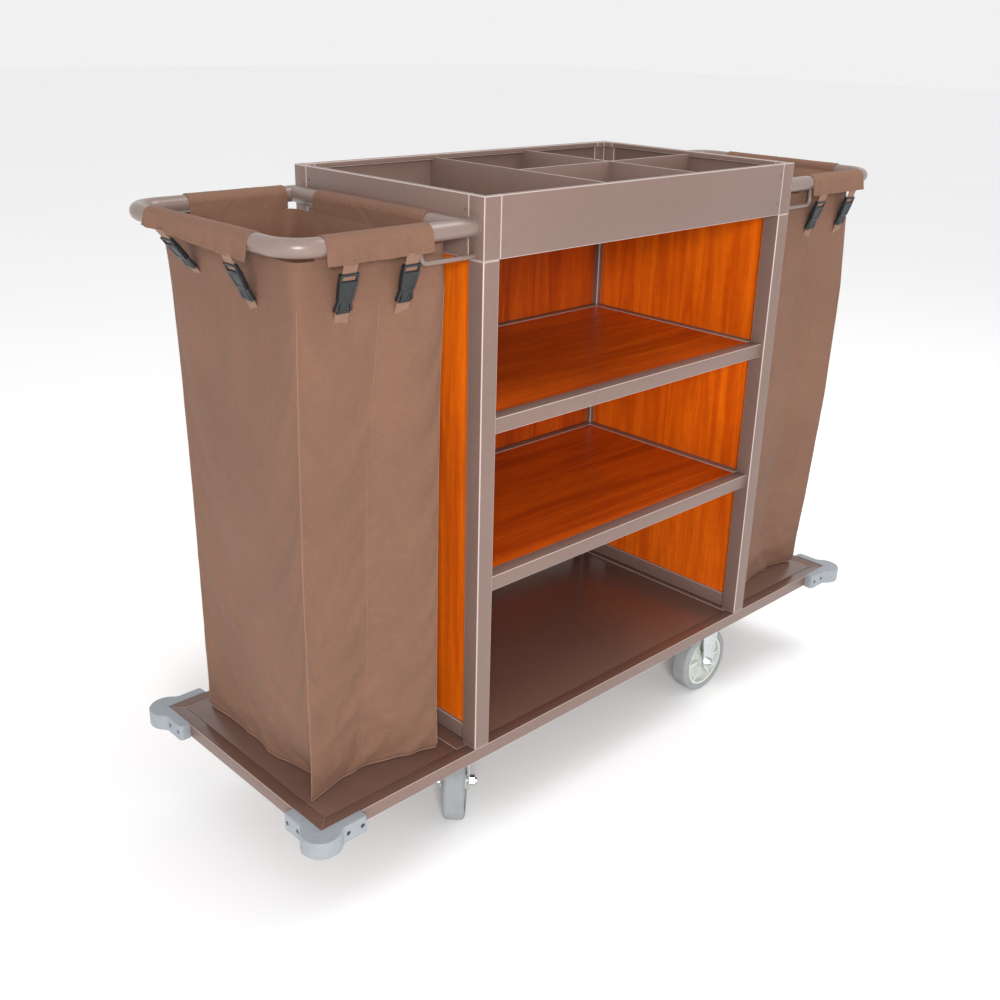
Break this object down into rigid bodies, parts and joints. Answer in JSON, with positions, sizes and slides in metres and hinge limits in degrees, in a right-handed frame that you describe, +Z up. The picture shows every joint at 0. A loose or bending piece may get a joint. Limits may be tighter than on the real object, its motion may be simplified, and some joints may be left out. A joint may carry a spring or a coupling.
{
  "type": "housekeeping cart",
  "caption": "Long low platform on casters carrying an open-fronted shelf cabinet with a divided top tray and a hanging fabric bag in a tube frame at each end.",
  "frame": {"origin": "on the floor under the middle of the cart", "axes": "+X along the cart from the swivel-caster end to the fixed-caster end, -Y towards the open front of the shelves, +Z up"},
  "size_m": [1.57, 0.563, 1.193],
  "materials": {
    "frame_profile": "taupe powder coat, satin",
    "tube_metal": "taupe powder coat, semi-gloss",
    "deck_sheet": "brown coated sheet, semi-gloss",
    "wood_laminate": "orange-red cherry laminate, satin",
    "bag_fabric": "tan-brown coated polyester, plain weave",
    "webbing": "brown woven webbing",
    "buckle_plastic": "near-black moulded",
    "bumper_plastic": "light grey moulded",
    "zinc_steel": "bright zinc plated",
    "hub_plastic": "off-white moulded",
    "tyre_rubber": "grey non-marking tread"
  },
  "bodies": {
    "root": {"back_panel": "wood_laminate", "bag_buckles": "buckle_plastic", "bag_cross_tubes": "tube_metal", "bag_flaps_left": "bag_fabric", "bag_flaps_right": "bag_fabric", "bag_left": "bag_fabric", "bag_right": "bag_fabric", "bag_straps": "webbing", "bag_tube_left": "tube_metal", "bag_tube_right": "tube_metal", "brace_rods": "tube_metal", "bumper_back_left": "bumper_plastic", "bumper_back_right": "bumper_plastic", "bumper_front_left": "bumper_plastic", "bumper_front_right": "bumper_plastic", "bumper_screws": "zinc_steel", "caster_beams": "frame_profile", "caster_bolts": "zinc_steel", "deck_cross_rails": "frame_profile", "deck_panel_left": "deck_sheet", "deck_panel_middle": "deck_sheet", "deck_panel_right": "deck_sheet", "fixed_axles": "zinc_steel", "fixed_brackets": "zinc_steel", "lower_shelf_panel": "wood_laminate", "lower_shelf_rails": "frame_profile", "panel_bottom_rails": "frame_profile", "platform_end_rails": "frame_profile", "platform_side_rails": "frame_profile", "post_back_left": "frame_profile", "post_back_right": "frame_profile", "post_front_left": "frame_profile", "post_front_right": "frame_profile", "side_panel_left": "wood_laminate", "side_panel_right": "wood_laminate", "swivel_plates": "zinc_steel", "tray_corners": "frame_profile", "tray_divider_left": "frame_profile", "tray_divider_long": "frame_profile", "tray_divider_right": "frame_profile", "tray_floor": "frame_profile", "tray_wall_back": "frame_profile", "tray_wall_front": "frame_profile", "tray_wall_left": "frame_profile", "tray_wall_right": "frame_profile", "tube_collars": "tube_metal", "upper_shelf_panel": "wood_laminate", "upper_shelf_rails": "frame_profile"},
    "swivel_front": {"swivel_fork_front": "zinc_steel", "swivel_axle_front": "zinc_steel"},
    "swivel_back": {"swivel_fork_back": "zinc_steel", "swivel_axle_back": "zinc_steel"},
    "swivel_wheel_front": {"swivel_hub_front": "hub_plastic", "swivel_tyre_front": "tyre_rubber"},
    "swivel_wheel_back": {"swivel_hub_back": "hub_plastic", "swivel_tyre_back": "tyre_rubber"},
    "fixed_wheel_front": {"fixed_hub_front": "hub_plastic", "fixed_tyre_front": "tyre_rubber"},
    "fixed_wheel_back": {"fixed_hub_back": "hub_plastic", "fixed_tyre_back": "tyre_rubber"}
  },
  "joints": [
    {"name": "swivel_front_turn", "type": "hinge", "parent": "root", "child": "swivel_front", "pos_m": [-0.3995, -0.1765, 0.165], "axis": [0, 0, 1], "continuous": true},
    {"name": "swivel_wheel_front_spin", "type": "hinge", "parent": "swivel_front", "child": "swivel_wheel_front", "pos_m": [-0.36697, -0.14397, 0.075], "axis": [-0.7071, 0.7071, 0], "continuous": true},
    {"name": "fixed_wheel_front_spin", "type": "hinge", "parent": "root", "child": "fixed_wheel_front", "pos_m": [0.367, -0.171, 0.075], "axis": [0, 1, 0], "continuous": true},
    {"name": "swivel_back_turn", "type": "hinge", "parent": "root", "child": "swivel_back", "pos_m": [-0.3995, 0.1765, 0.165], "axis": [0, 0, 1], "continuous": true},
    {"name": "swivel_wheel_back_spin", "type": "hinge", "parent": "swivel_back", "child": "swivel_wheel_back", "pos_m": [-0.36697, 0.14397, 0.075], "axis": [0.7071, 0.7071, 0], "continuous": true},
    {"name": "fixed_wheel_back_spin", "type": "hinge", "parent": "root", "child": "fixed_wheel_back", "pos_m": [0.367, 0.171, 0.075], "axis": [0, 1, 0], "continuous": true}
  ]
}
